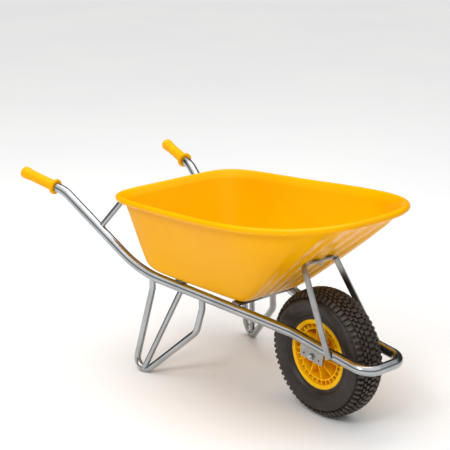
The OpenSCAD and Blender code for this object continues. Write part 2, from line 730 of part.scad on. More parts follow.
// A point on the tyre's rounded section at angle a, drawn in by depth.
tyre_r = tyre_diameter / 2;
section_power = 2.6;
section_mid = rim_r + (tyre_r - rim_r) * 0.5;
section_low = -50;
function signed_power(v) = sign(v) * pow(abs(v), 2 / section_power);
function section_point(a, depth) =
    [section_mid + (tyre_r - section_mid - depth) * signed_power(sin(a)),
     (tyre_width / 2 - depth) * signed_power(cos(a))];
section_step = 10;
tyre_wall = 8;
bead_out = rim_half_w - flange_thick - seat_gap;
bead_wide = 9;
bead_high = 10;
lip_gap = 1;
function section(depth) =
    [for (a = [section_low : section_step : 180 - section_low]) section_point(a, depth)];
// The outline of what fills the tyre, down to the rim.
function cavity(depth) = concat(section(tyre_wall + depth),
    [[bead_r + bead_high, bead_wide - lip_gap - bead_out + depth],
     [bead_r + seat_gap + depth, bead_wide - bead_out + depth],
     [bead_r + seat_gap + depth, bead_out - bead_wide - depth],
     [bead_r + bead_high, bead_out - bead_wide + lip_gap - depth]]);

module tyre() {
    color(black_rubber) on_axle(0) rotate_extrude($fn = 96) difference() {
        polygon(concat(section(0),
            [[rim_r + lip_gap + seat_gap, lip_gap - rim_half_w], [rim_r + lip_gap, -bead_out],
             [bead_r + seat_gap, -bead_out], [bead_r + seat_gap, bead_out],
             [rim_r + lip_gap, bead_out], [rim_r + lip_gap + seat_gap, rim_half_w - lip_gap]]));
        polygon(cavity(0));
        translate([bead_r - bead_high, bead_wide - bead_out])
            square([bead_high + 2 * lip_gap, 2 * (bead_out - bead_wide)]);
    }
}

inner_wall = 2;
module inner_tube() {
    color(black_rubber) on_axle(0) rotate_extrude($fn = 96) difference() {
        polygon(cavity(seat_gap));
        polygon(cavity(seat_gap + inner_wall));
    }
}

module valve_stem() {
    top = bead_r + seat_gap;
    color(brass) on_axle(0) rotate([0, 0, valve_turn]) translate([top, 0, valve_side])
        rotate([0, -90, 0]) cylinder(h = top - ring_r + valve_out, r = valve_r);
}

grip_fit = 0.1;
guard_chamfer = 3;
bulge_from = 18;
bulge_to = 32;
module grip(side) {
    guard_r = guard_diameter / 2;
    inner_end = grip_length + guard_thick / 2;
    guard_from = inner_end - guard_thick;
    color(yellow) on_side(side) placed(grip_tip, -grip_dir, [0, 0, 1])
        rotate_extrude() difference() {
            polygon([
                for (a = [0 : 15 : 90]) [grip_end_r - grip_end_round * (1 - sin(a)),
                                         grip_end_round * (1 - cos(a))],
                [grip_end_r, bulge_from], [grip_r, bulge_to], [grip_r, guard_from],
                [guard_r - guard_chamfer, guard_from], [guard_r, guard_from + guard_chamfer],
                [guard_r, inner_end - guard_chamfer], [guard_r - guard_chamfer, inner_end],
                [0, inner_end], [0, 0]]);
            translate([0, grip_cap]) square([tube_r + grip_fit, inner_end]);
        }
}

// Bolts and nuts of the tray: the head is inside and the nut under the bar or bracket.
bracket_head_gap = 3;
bracket_head_lift = bracket_gap + bracket_thick / 2 + tray_wall + bracket_head_gap;
nut_height = 6.5;
nut_r = 7.5;
head_r = 9;
head_height = 3.5;
bolt_end = 5;
module tray_bolt(length) {
    translate([0, 0, -length]) cylinder(h = length, d = tray_bolt_diameter);
    rotate_extrude() intersection() {
        circle(r = head_r);
        square([head_r, head_height]);
    }
}

module tray_nut() {
    difference() {
        translate([0, 0, -nut_height]) hexagon(nut_r, nut_height);
        translate([0, 0, -nut_height - 1])
            cylinder(h = nut_height + 2, r = tray_bolt_diameter / 2 + thread_gap);
    }
}

// Places children at each floor bolt, at a height over the tops of the flat bars.
module at_floor_bolts(lift) {
    for (x = [front_bar_x, rear_bar_x]) for (side = [-1, 1])
        placed([x, side * floor_bolt_y(x), low_z(x) + tube_r / cos(low_rise)],
               [tan(low_rise), 0, 1], [1, 0, 0])
            translate([-floor_bolt_back, 0, bar_thick + lift]) children();
}

module tray() {
    hole = tray_bolt_diameter / 2 + bolt_play;
    color(yellow) difference() {
        lofted(tray_rings);
        at_floor_bolts(-tray_wall) cylinder(h = 4 * tray_wall, r = hole);
        placed(bracket_mid, -bracket_down, bracket_along)
            cylinder(h = bracket_head_lift + 3 * tray_wall, r = hole);
    }
}

module floor_bolts() {
    color(bright_steel) at_floor_bolts(tray_wall + 2 * seat_gap)
        tray_bolt(tray_wall + bar_thick + nut_height + bolt_end);
}

module floor_nuts() {
    color(bright_steel) at_floor_bolts(-bar_thick) tray_nut();
}

module bracket_bolt() {
    color(bright_steel) placed(bracket_mid - bracket_down * bracket_head_lift,
                               -bracket_down, bracket_along)
        tray_bolt(bracket_head_lift + bracket_thick / 2 + nut_height + bolt_end);
}

module bracket_nut() {
    color(bright_steel) placed(bracket_mid + bracket_down * bracket_thick / 2,
                               -bracket_down, bracket_along) tray_nut();
}

frame_tube();
leg(1);  // left_leg
leg(-1);  // right_leg
leg_brace(1);  // left_leg_brace
leg_brace(-1);  // right_leg_brace
cross_bar(front_bar_x);  // front_cross_bar
cross_bar(rear_bar_x);  // rear_cross_bar
tray_stay(1);  // left_tray_stay
tray_stay(-1);  // right_tray_stay
front_bracket();
axle_plate(1);  // left_axle_plate
axle_plate(-1);  // right_axle_plate
grip(1);  // left_grip
grip(-1);  // right_grip
tray();
bracket_bolt();
bracket_nut();
floor_bolts();
floor_nuts();
axle_bolt();
axle_nut();
axle_sleeve();
axle_spacer(1);  // left_axle_spacer
axle_spacer(-1);  // right_axle_spacer
wheel_rim();
tyre();
inner_tube();
valve_stem();
hub_bush(1);  // left_hub_bush
hub_bush(-1);  // right_hub_bush
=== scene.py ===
"""Looks of a builder's wheelbarrow: a deep yellow tray, a bright tube frame and one tyre.

The barrow stands with X forward to its wheel, Y to its left and Z up. Sizes are in
millimetres here and turn to metres where a mesh is made.
"""

import logging
import math
from dataclasses import dataclass
from enum import Enum
from typing import Any

import bpy
import numpy as np
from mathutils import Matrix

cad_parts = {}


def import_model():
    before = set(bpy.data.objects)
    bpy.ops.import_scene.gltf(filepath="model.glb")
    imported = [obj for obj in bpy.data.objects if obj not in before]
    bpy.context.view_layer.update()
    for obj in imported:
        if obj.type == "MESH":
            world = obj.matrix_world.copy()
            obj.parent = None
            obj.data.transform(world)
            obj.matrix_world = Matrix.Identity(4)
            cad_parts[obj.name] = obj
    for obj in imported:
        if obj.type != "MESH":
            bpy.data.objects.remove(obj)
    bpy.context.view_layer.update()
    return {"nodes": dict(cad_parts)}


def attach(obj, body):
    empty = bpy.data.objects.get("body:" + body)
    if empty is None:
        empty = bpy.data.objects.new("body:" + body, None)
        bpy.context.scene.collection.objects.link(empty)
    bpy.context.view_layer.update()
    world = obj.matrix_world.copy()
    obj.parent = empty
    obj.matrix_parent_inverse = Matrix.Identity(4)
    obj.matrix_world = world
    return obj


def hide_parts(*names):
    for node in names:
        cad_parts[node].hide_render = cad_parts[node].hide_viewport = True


LOG = logging.getLogger("barrow")
MM = 0.001
FRAME_BODY = "frame"
WHEEL_BODY = "wheel"
RIM_ROLL = 10.5


def tan_deg(angle: float) -> float:
    """Tangent of an angle in degrees."""
    return math.tan(math.radians(angle))


def sin_deg(angle: np.ndarray) -> np.ndarray:
    """Sines of angles in degrees."""
    return np.sin(np.radians(angle))


# ---- colours and nodes


def hex_to_linear(code: str) -> tuple[float, float, float, float]:
    """Turns an sRGB hex colour to linear light.

    Args:
        code: six hex digits, with or without a leading hash.

    Returns:
        Red, green, blue and an alpha of one.
    """
    code = code.lstrip("#")
    parts = [int(code[i : i + 2], 16) / 255 for i in (0, 2, 4)]
    lin = [p / 12.92 if p <= 0.04045 else ((p + 0.055) / 1.055) ** 2.4 for p in parts]
    return (lin[0], lin[1], lin[2], 1.0)


def add_node(tree: Any, kind: str, settings: dict[str, Any] | None = None,
             inputs: dict[Any, Any] | None = None) -> Any:
    """Adds one shader node with its settings, its socket values and its links.

    Args:
        tree: the node tree to add to.
        kind: the node's type name.
        settings: attributes to set on the node.
        inputs: socket name or index to a value, or to an output socket to link from.

    Returns:
        The new node.
    """
    node = tree.nodes.new(kind)
    for name, value in (settings or {}).items():
        setattr(node, name, value)
    for name, value in (inputs or {}).items():
        if isinstance(value, bpy.types.NodeSocket):
            tree.links.new(value, node.inputs[name])
        else:
            node.inputs[name].default_value = value
    return node


def blend_colours(tree: Any, share: Any, first: Any, second: Any) -> Any:
    """Mixes two colours by a share and returns the mixed colour's socket."""
    node = add_node(tree, "ShaderNodeMix", {"data_type": "RGBA"}, {0: share, 6: first, 7: second})
    return node.outputs[2]


def ramp(tree: Any, value: Any, stops: list[tuple[float, float]]) -> Any:
    """Maps a value to greys through a list of places and levels.

    Args:
        tree: the node tree to add to.
        value: the socket to map.
        stops: pairs of place and grey level, in rising order.

    Returns:
        The ramp's colour socket.
    """
    node = add_node(tree, "ShaderNodeValToRGB", None, {0: value})
    elements = node.color_ramp.elements
    for k, (place, level) in enumerate(stops):
        stop = elements[k] if k < 2 else elements.new(place)
        stop.position = place
        stop.color = (level, level, level, 1.0)
    return node.outputs[0]


class Follows(Enum):
    """What a finish's pattern is laid on."""

    SPACE = "Object"
    SURFACE = "UV"


@dataclass(frozen=True)
class Finish:
    """A finish made of one base colour with a second tone, a fine grain and a bump.

    Attributes:
        name: the material's own name, after what the real one is.
        colour: sRGB hex of the main tone.
        shade: sRGB hex of the second tone, mixed in by soft clouds.
        metallic: one for bare metal, or zero.
        rough: lowest and highest roughness, moved between by the grain.
        cloud_mm: size of the soft clouds.
        grain_mm: size of the grain.
        stretch: how much longer the grain is along the piece than across it.
        bump: strength of the grain's relief.
        relief_mm: depth of the grain's relief.
        ior: refractive index, or none for the shader's own value.
        coat: strength of a clear gloss over the surface.
        follows: what the pattern is laid on.
    """

    name: str
    colour: str
    shade: str
    metallic: float = 0.0
    rough: tuple[float, float] = (0.4, 0.5)
    cloud_mm: float = 120.0
    grain_mm: float = 3.0
    stretch: float = 1.0
    bump: float = 0.1
    relief_mm: float = 0.1
    ior: float | None = None
    coat: float = 0.0
    follows: Follows = Follows.SPACE

    def make(self) -> bpy.types.Material:
        """Builds the material once and returns it from then on."""
        made = bpy.data.materials.get(self.name)
        if made is not None:
            return made
        mat = bpy.data.materials.new(self.name)
        mat.use_nodes = True
        tree = mat.node_tree
        tree.nodes.clear()
        place = add_node(tree, "ShaderNodeTexCoord").outputs[self.follows.value]
        laid = add_node(tree, "ShaderNodeMapping", None,
                        {"Vector": place, "Scale": (1.0, 1.0 / self.stretch, 1.0)})
        clouds = add_node(tree, "ShaderNodeTexNoise", None,
                          {"Vector": place, "Scale": 1000 / self.cloud_mm, "Detail": 3.0})
        grain = add_node(tree, "ShaderNodeTexNoise", None,
                         {"Vector": laid.outputs[0], "Scale": 1000 / self.grain_mm,
                          "Detail": 4.0, "Roughness": 0.6})
        share = ramp(tree, clouds.outputs[0], [(0.38, 0.0), (0.62, 1.0)])
        colour = self.tint(tree, blend_colours(tree, share, hex_to_linear(self.colour),
                                               hex_to_linear(self.shade)), place)
        rough = add_node(tree, "ShaderNodeMapRange", None,
                         {0: grain.outputs[0], 1: 0.3, 2: 0.7, 3: self.rough[0],
                          4: self.rough[1]})
        bump = add_node(tree, "ShaderNodeBump", None,
                        {"Strength": self.bump, "Distance": self.relief_mm * MM,
                         "Height": grain.outputs[0]})
        values: dict[Any, Any] = {"Base Color": colour, "Metallic": self.metallic,
                                  "Roughness": rough.outputs[0], "Normal": bump.outputs[0]}
        if self.ior is not None:
            values["IOR"] = self.ior
        if self.coat > 0:
            values["Coat Weight"] = self.coat
            values["Coat Roughness"] = 0.12
        surface = add_node(tree, "ShaderNodeBsdfPrincipled", None, values)
        add_node(tree, "ShaderNodeOutputMaterial", None, {"Surface": surface.outputs[0]})
        return mat

    def tint(self, tree: Any, colour: Any, place: Any) -> Any:
        """Lets a kind of finish add its own marks to the colour. The plain one adds none."""
        return colour


@dataclass(frozen=True)
class DustAndHighlightFinish(Finish):
    """A finish with a film of another colour in soft patches: dust on the tyre's body, and dust
    with painted highlight on the tread blocks.

    Attributes:
        film: sRGB hex of the film.
        film_mm: size of the patches.
        film_share: how strongly the film shows, from zero to one.
    """

    film: str = "#B9B2A6"
    film_mm: float = 40.0
    film_share: float = 0.2

    def tint(self, tree: Any, colour: Any, place: Any) -> Any:
        """Mixes the film in by a second, broken cloud."""
        patch = add_node(tree, "ShaderNodeTexNoise", None,
                         {"Vector": place, "Scale": 1000 / self.film_mm, "Detail": 6.0})
        share = ramp(tree, patch.outputs[0], [(0.45, 0.0), (0.75, self.film_share)])
        return blend_colours(tree, share, colour, hex_to_linear(self.film))


# Zinc-plated drawn steel tube: bright, with fine lines drawn along it. The lines are
# laid coarser than real ones so that they show.
ZINC_TUBE = Finish("zinc_plated_tube", "#B2B5B8", "#A5A8AB", 1.0, (0.14, 0.24), 90.0, 2.2,
                   30.0, 0.05, 0.05, follows=Follows.SURFACE)
# Zinc-plated flat bar and plate: the same plating with a duller, rolled face.
ZINC_PLATE = Finish("zinc_plated_plate", "#A5A6A5", "#989998", 1.0, (0.24, 0.36), 40.0, 1.6,
                    1.0, 0.08, 0.05)
# Bright zinc on bolts and nuts: smaller and a little darker in its corners.
ZINC_BOLT = Finish("zinc_plated_bolt", "#C4C5C6", "#A9AAAB", 1.0, (0.22, 0.36), 8.0, 0.8,
                   1.0, 0.1, 0.05)
# Moulded polyethylene tray: an even, saturated yellow with a soft gloss and a very
# slight orange-peel face. Its reflections are kept faint, so that the colour stays deep.
TRAY_YELLOW = Finish("moulded_polyethylene", "#FBB300", "#F9AE00", 0.0, (0.17, 0.25), 260.0,
                     4.0, 1.0, 0.05, 0.08, ior=1.14, coat=0.08)
# Moulded polypropylene wheel centre: the same yellow, a touch lighter and harder.
RIM_YELLOW = Finish("moulded_polypropylene", "#FFC800", "#FFBE00", 0.0, (0.3, 0.42), 60.0,
                    2.0, 1.0, 0.06, 0.06, ior=1.2, coat=0.08)
# Soft grip vinyl: matt, slightly uneven yellow.
GRIP_YELLOW = Finish("soft_vinyl_grip", "#FBB600", "#F5AC00", 0.0, (0.45, 0.6), 30.0, 1.2,
                     1.0, 0.15, 0.1, ior=1.2)
# Tyre rubber: a warm black that is dusty in patches. It is kept darker than the tread blocks, as
# painted shade in the gaps between them.
TYRE_RUBBER = DustAndHighlightFinish("tyre_rubber", "#251D18", "#1F1814", 0.0, (0.42, 0.6), 50.0, 1.5,
                         1.0, 0.2, 0.15, ior=1.5, film="#43372E", film_mm=30.0,
                         film_share=0.5)
# Tread blocks: the same rubber made lighter and with light patches, partly scuffs and dust where
# they touch the ground and partly painted highlight on their tops.
TREAD_RUBBER = DustAndHighlightFinish("tyre_tread_dust_and_painted_highlight", "#3A2F28", "#2C241F", 0.0, (0.4, 0.58), 25.0, 1.2,
                          1.0, 0.25, 0.15, ior=1.5, film="#6A5A4D", film_mm=14.0,
                          film_share=0.5)
# Nylon bush: pale and waxy.
NYLON = Finish("turned_nylon", "#DCD8CC", "#CFCABC", 0.0, (0.4, 0.5), 10.0, 1.0, 1.0, 0.05,
               0.05, ior=1.53)
# Brass valve stem: drawn and slightly dull.
BRASS = Finish("drawn_brass", "#C9A35A", "#B28C48", 1.0, (0.3, 0.42), 6.0, 0.8, 1.0, 0.05,
               0.05)
# Floor sheet: matt white card.
CARD = Finish("matt_white_card", "#F6F6F5", "#F4F4F4", 0.0, (0.8, 0.9), 900.0, 6.0, 1.0,
              0.0, 0.0)


# ---- meshes from arrays


def signed_volume(points: np.ndarray, quads: np.ndarray) -> float:
    """Sum of the signed cones from the points' middle to each quad, below zero inside out."""
    centred = points - points.mean(0)
    a, b, c, d = (centred[quads[:, k]] for k in range(4))
    cones = np.einsum("ij,ij->i", a, np.cross(b, c)) + np.einsum("ij,ij->i", a, np.cross(c, d))
    return float(cones.sum())


def put_mesh(name: str, points: np.ndarray, quads: np.ndarray, finish: Finish,
             tris: np.ndarray | None = None, uv: np.ndarray | None = None,
             smooth_angle: float = 40.0) -> bpy.types.Object:
    """Puts arrays into a mesh object at the origin, with its faces turned outwards.

    Args:
        name: the piece's name.
        points: corner positions in millimetres, one row each.
        quads: four corner numbers a row, all turning one way.
        finish: the piece's finish.
        tris: three corner numbers a row, turning the same way as the quads.
        uv: one pair a corner point, in metres, or none.
        smooth_angle: edges sharper than this many degrees stay sharp.

    Returns:
        The new object.
    """
    if signed_volume(points, quads) < 0:
        quads = quads[:, ::-1]
        tris = tris[:, ::-1] if tris is not None else None
    faces = quads.tolist() + (tris.tolist() if tris is not None else [])
    mesh = bpy.data.meshes.new(name)
    mesh.from_pydata((points * MM).tolist(), [], faces)
    mesh.polygons.foreach_set("use_smooth", np.ones(len(mesh.polygons), bool))
    if uv is not None:
        layer = mesh.uv_layers.new(name="along")
        corner = np.zeros(len(mesh.loops), np.int32)
        mesh.loops.foreach_get("vertex_index", corner)
        layer.data.foreach_set("uv", uv[corner].astype(np.float32).ravel())
    mesh.validate()
    mesh.update()
    mesh.set_sharp_from_angle(angle=math.radians(smooth_angle))
    obj = bpy.data.objects.new(name, mesh)
    bpy.context.scene.collection.objects.link(obj)
    mesh.materials.append(finish.make())
    return obj


def grid_faces(rows: int, columns: int, close_rows: bool,
               close_columns: bool) -> np.ndarray:
    """Faces of a grid of points, row after row, each face joining two rows.

    Args:
        rows: number of rows.
        columns: number of points in a row.
        close_rows: joins the last row to the first.
        close_columns: joins each row's last point to its first.

    Returns:
        Four corner numbers a row.
    """
    i = np.arange(rows if close_rows else rows - 1)[:, None]
    j = np.arange(columns if close_columns else columns - 1)[None, :]
    i2, j2 = (i + 1) % rows, (j + 1) % columns
    corners = (i * columns + j, i2 * columns + j, i2 * columns + j2, i * columns + j2)
    return np.stack([c.ravel() for c in np.broadcast_arrays(*corners)], 1)


def turned(profile: np.ndarray, steps: int) -> np.ndarray:
    """Turns a profile of (radius, place along the axis) about the Z axis.

    The point at angle a and profile point (r, z) is (r cos a, r sin a, z).

    Returns:
        An array of steps by profile points by three.
    """
    a = np.linspace(0, 2 * math.pi, steps, endpoint=False)[:, None]
    r, z = profile[None, :, 0], profile[None, :, 1]
    return np.stack([r * np.cos(a), r * np.sin(a), z + 0 * a], 2)


def rounded_profile(corners: list[tuple[float, float, float]], steps: int = 5) -> np.ndarray:
    """A profile through corners, each rounded by its own radius.

    Each corner is cut back along both edges by its radius and bridged by a parabola
    whose control point is the corner.

    Args:
        corners: radius from the axis, place along it and rounding of each corner.
        steps: points on each rounding.

    Returns:
        The rounded profile's points.
    """
    c = np.array(corners, float)
    p, r = c[:, :2], c[:, 2]
    out: list[np.ndarray] = []
    for k in range(len(p)):
        before, after = p[k] - p[k - 1], p[(k + 1) % len(p)] - p[k]
        if r[k] <= 0:
            out.append(p[k][None])
            continue
        lb, la = np.linalg.norm(before), np.linalg.norm(after)
        a = p[k] - before / lb * min(r[k], lb / 2)
        b = p[k] + after / la * min(r[k], la / 2)
        t = np.linspace(0, 1, steps)[:, None]
        out.append(a * (1 - t) ** 2 + p[k] * 2 * t * (1 - t) + b * t**2)
    line = np.concatenate(out)
    fresh = np.linalg.norm(np.diff(line, axis=0, prepend=line[:1] - 1), axis=1) > 1e-6
    return line[fresh]


@dataclass
class BentPath:
    """A centre line of straights joined by arcs.

    Attributes:
        corners: crossing points of the straights, in millimetres.
        bends: radius of the arc at each inner corner.
        step_deg: angle of each step round an arc.
        reach: length of each step along a straight.
    """

    corners: np.ndarray
    bends: list[float]
    step_deg: float = 4.0
    reach: float = 25.0

    def points(self) -> np.ndarray:
        """Points along the centre line.

        An arc point at angle t from its start is centre + R (cos t away + sin t ahead),
        and its centre lies a radius inward from where the arc starts.

        Returns:
            One point a row.
        """
        out: list[np.ndarray] = []
        place = self.corners[0]
        for k in range(1, len(self.corners)):
            here, last = self.corners[k], k == len(self.corners) - 1
            ahead = here - self.corners[k - 1]
            ahead = ahead / np.linalg.norm(ahead)
            if last:
                stop, arc = here, None
            else:
                nxt = self.corners[k + 1] - here
                nxt = nxt / np.linalg.norm(nxt)
                turn = math.acos(float(np.clip(ahead @ nxt, -1, 1)))
                radius = self.bends[k - 1]
                stop = here - ahead * radius * math.tan(turn / 2)
                inward = nxt - ahead * float(ahead @ nxt)
                inward = inward / np.linalg.norm(inward)
                t = np.linspace(0, turn, max(3, int(math.degrees(turn) / self.step_deg) + 2))
                t = t[:, None]
                arc = stop + inward * radius + radius * (-np.cos(t) * inward + np.sin(t) * ahead)
            count = max(2, int(np.linalg.norm(stop - place) / self.reach) + 1)
            run = np.linspace(0, 1, count)[:, None]
            line = place + (stop - place) * run
            out.append(line if not out else line[1:])
            if arc is not None:
                out.append(arc[1:])
                place = arc[-1]
        return np.concatenate(out)


def swept_rings(path: np.ndarray, side: np.ndarray, radius: float,
                around: int) -> tuple[np.ndarray, np.ndarray]:
    """Carries a circle along a path.

    At each path point the circle lies across the path's direction d, spanned by
    u = d x side and v = d x u, so the point at angle a is p + r (cos a u + sin a v).

    Args:
        path: points of the centre line.
        side: a direction that the path never takes, which fixes the turn of the circle.
        radius: the circle's radius.
        around: points round the circle.

    Returns:
        Rings of points and each ring's direction.
    """
    d = np.gradient(path, axis=0)
    d /= np.linalg.norm(d, axis=1)[:, None]
    u = np.cross(d, side)
    u /= np.linalg.norm(u, axis=1)[:, None]
    v = np.cross(d, u)
    a = np.linspace(0, 2 * math.pi, around, endpoint=False)
    wheel = (np.cos(a)[None, :, None] * u[:, None] + np.sin(a)[None, :, None] * v[:, None])
    return path[:, None] + radius * wheel, d


def tube_piece(name: str, path: np.ndarray, side: np.ndarray, radius: float, finish: Finish,
               planes: tuple[tuple[np.ndarray, np.ndarray] | None, ...] = (None, None),
               around: int = 56) -> bpy.types.Object:
    """A round tube along a path with a flat cap at each end.

    Args:
        name: the piece's name.
        path: points of the centre line.
        side: a direction that the path never takes.
        radius: the tube's outer radius.
        finish: the tube's finish.
        planes: for each end, a point and normal of the plane that cuts it, or none.
        around: points round the tube.

    Returns:
        The new object.
    """
    rings, along = swept_rings(path, side, radius, around)
    for end, plane in zip((0, -1), planes):
        if plane is not None:
            point, normal = plane
            gap = (point - rings[end]) @ normal / (along[end] @ normal)
            rings[end] = rings[end] + gap[:, None] * along[end]
    n = len(path)
    flat = rings.reshape(-1, 3)
    middle = np.stack([rings[0].mean(0), rings[-1].mean(0)])
    points = np.concatenate([flat, middle])
    quads = grid_faces(n, around, False, True)
    j = np.arange(around)
    k = (j + 1) % around
    first = np.stack([j, k, np.full(around, n * around)], 1)
    last_row = (n - 1) * around
    last = np.stack([last_row + k, last_row + j, np.full(around, n * around + 1)], 1)
    length = np.concatenate([[0], np.cumsum(np.linalg.norm(np.diff(path, axis=0), axis=1))])
    uv = np.stack(np.broadcast_arrays(
        np.abs(j - around / 2)[None, :] / around * 2 * math.pi * radius * MM,
        length[:, None] * MM), 2).reshape(-1, 2)
    uv = np.concatenate([uv, [[0, 0], [0, length[-1] * MM]]])
    return put_mesh(name, points, quads, finish, np.concatenate([first, last]), uv)


# ---- the barrow's lines


@dataclass(frozen=True)
class Lines:
    """Where the frame's lines run, in millimetres and degrees."""

    axle_x: float = 462.0
    axle_z: float = 200.0
    nose_x: float = 705.0
    nose_half: float = 81.0
    axle_drop: float = 55.0
    low_rise: float = 6.3
    spread_x: float = 396.0
    spread: float = 11.67
    bend_x: float = -201.0
    handle_rise: float = 33.3
    tube_r: float = 16.0
    bar_thick: float = 6.0
    handle_bend: float = 370.0

    def low_z(self, x: Any) -> Any:
        """Height of the low run's centre line at x."""
        nose_z = self.axle_z + self.axle_drop - (self.nose_x - self.axle_x) * self.slope
        return nose_z + (self.nose_x - x) * self.slope

    @property
    def slope(self) -> float:
        """Rise of the low run for each unit back."""
        return tan_deg(self.low_rise)

    def run_y(self, x: Any) -> Any:
        """Distance of a run's centre line from the middle plane at x."""
        back = np.maximum(0, self.spread_x - x)
        return self.nose_half + back * tan_deg(self.spread)

    def handle_z(self, x: float) -> float:
        """Height of the handle's straight centre line at x."""
        return self.low_z(self.bend_x) + (self.bend_x - x) * tan_deg(self.handle_rise)

    def run_z(self, x: float) -> float:
        """Height of the run's centre line at x with its bend up to the handle."""
        turn = math.radians(self.handle_rise - self.low_rise) / 2
        start = self.bend_x + self.handle_bend * math.tan(turn) * math.cos(
            math.radians(self.low_rise))
        into = max(0.0, start - x)
        return self.low_z(x) + into**2 / (2 * self.handle_bend) / math.cos(
            math.radians(self.low_rise))


LINES = Lines()


# ---- the tray


@dataclass
class Tray:
    """The deep moulded tray: a flat floor, leaning walls and a rolled rim.

    Attributes:
        front_reach, rear_reach: from the middle to the rim's centre line.
        middle_x: place of the rim's widest part.
        half: half width of the rim's centre line there.
        taper: widening towards the front, as a slope.
        rim_height, rim_slope, front_lift: height of the rim's centre line.
        floor_front, floor_rear: ends of the floor, in X.
        roll, wall: radius of the rolled rim and the tray's thickness.
        rim_inset: from the rim's centre line to the wall's top.
        powers: corner squareness of the floor and rim, front and rear.
        fade: how soon the wall takes on the rim's squareness.
        bow: rise of the front wall's middle.
        waves, wave_depth, wave_lean: corrugations of the front wall and their lean.
        wall_top: share of the height where the wall passes into the rolled rim.
        floor_lap, floor_flare: how far the floor's edge lies inside the runs.
    """

    lines: Lines = LINES
    middle_x: float = 137.0
    front_reach: float = 505.5
    rear_reach: float = 433.5
    half: float = 292.5
    taper: float = tan_deg(3.1)
    rim_height: float = 604.0
    rim_slope: float = tan_deg(5.0)
    front_lift: float = 9.0
    floor_front: float = 210.0
    floor_rear: float = -202.0
    roll: float = RIM_ROLL - 0.15
    rim_inset: float = 12.5
    wall: float = 4.0
    rounding: float = 34.0 / 300.0
    powers: tuple[float, float, float, float] = (14.0, 4.5, 2.7, 7.0)
    fade: float = 0.65
    bow: float = 8.0
    waves: int = 7
    wave_depth: float = 5.0
    wave_lean: float = 37.0
    wall_top: float = 0.95
    floor_lap: float = 2.0
    floor_flare: float = 0.06
    counts: tuple[int, int, int] = (280, 84, 72)

    def square(self) -> np.ndarray:
        """Points round a square: front edge, left side, rear edge, right side."""
        front, side, rear = self.counts
        f, s, r = (np.linspace(-1, 1, n, endpoint=False) for n in (front, side, rear))
        return np.concatenate([np.stack([1 + 0 * f, f], 1), np.stack([-s, 1 + 0 * s], 1),
                               np.stack([-1 + 0 * r, -r], 1), np.stack([s, -1 + 0 * s], 1)])

    def round_point(self, share: np.ndarray) -> np.ndarray:
        """The square drawn in to round corners, softer the higher up the wall.

        Each point s is divided by (|sx|^p + |sy|^p)^(1/p), and the power p runs from
        the floor's to the rim's with the share of the wall's height.

        Args:
            share: height up the wall from zero to one, one row each.

        Returns:
            Rows by points by two.
        """
        s = self.square()[None]
        ff, fr, rf, rr = self.powers
        k = share[:, None] ** self.fade
        power = np.where(s[..., 0] > 0, ff + (rf - ff) * k, fr + (rr - fr) * k)
        size = (np.abs(s[..., 0]) ** power + np.abs(s[..., 1]) ** power) ** (1 / power)
        return s / size[..., None]

    def floor_z(self, x: Any) -> Any:
        """Height of the floor's underside at x."""
        lift = (self.lines.tube_r + self.lines.bar_thick) / math.cos(
            math.radians(self.lines.low_rise)) + 0.3
        return self.lines.low_z(x) + lift

    def rim_z(self, x: Any) -> Any:
        """Height of the rim's centre line at x, lifted by a square law to the front."""
        ahead = (x - self.middle_x) / self.front_reach
        return self.rim_height + (x - self.middle_x) * self.rim_slope + (
            self.front_lift * ahead**2)

    def rim_side(self, x: Any) -> Any:
        """Half width of the rim's centre line at x."""
        return self.half + (x - self.middle_x) * self.taper

    def front_share(self, steep: float) -> np.ndarray:
        """How far each point lies within the front wall, from zero to one."""
        n = self.counts[0]
        i = np.arange(len(self.square()))
        share = np.minimum(1, steep * np.sin(math.pi * i / n) ** 2)
        return np.where(i <= n, share, 0.0)

    def wall_at(self, share: np.ndarray, inset: float) -> np.ndarray:
        """Points on the wall, on straight lines from the floor's edge to the rim.

        The front's middle is bowed up by a parabola, and ridges that follow
        (1 - cos) / 2 across it stand out downwards.

        Args:
            share: height up the wall from zero to one, one row each.
            inset: distance in from the outer face.

        Returns:
            Rows by points by three.
        """
        p = self.round_point(share)
        px, py = p[..., 0], p[..., 1]
        half = (self.floor_front - self.floor_rear) / 2 - inset
        x0 = (self.floor_front + self.floor_rear) / 2 + px * half
        edge = (self.lines.run_y(x0) - self.floor_lap
                + self.floor_flare * (self.floor_front - x0))
        low = np.stack([x0, py * (edge - inset), self.floor_z(x0)], 2)
        reach = np.where(px > 0, self.front_reach, self.rear_reach)
        in_rim = self.rim_inset + inset
        x1 = self.middle_x + px * (reach - in_rim)
        high = np.stack([x1, py * (self.rim_side(x1) - in_rim), self.rim_z(x1)], 2)
        s = share[:, None]
        i = np.arange(p.shape[1])[None]
        wave = self.front_share(4.0) * (1 - np.cos(
            2 * math.pi * self.waves * i / self.counts[0])) / 2
        wave = self.wave_depth * wave * np.minimum(1, np.minimum(5 * s, 5 * (1 - s)))
        out = low + (high - low) * s[..., None]
        lean = math.radians(self.wave_lean)
        out[..., 0] += wave * math.sin(lean)
        out[..., 2] += self.front_share(1.6) * self.bow * 4 * s * (1 - s)
        out[..., 2] -= wave * math.cos(lean)
        return out

    def rounding_at(self, share: np.ndarray, inset: float) -> np.ndarray:
        """Points on the rounding between floor and wall, a parabola through both."""
        corner = self.wall_at(np.zeros(1), inset)
        on_wall = self.wall_at(np.full(1, self.rounding), inset)
        middle = (self.floor_front + self.floor_rear) / 2
        flat = corner.copy()
        flat[..., 0] += (middle - corner[..., 0]) * self.rounding
        flat[..., 1] *= 1 - self.rounding
        flat[..., 2] = self.floor_z(flat[..., 0])
        t = share[:, None, None]
        return flat * (1 - t) ** 2 + corner * 2 * t * (1 - t) + on_wall * t**2

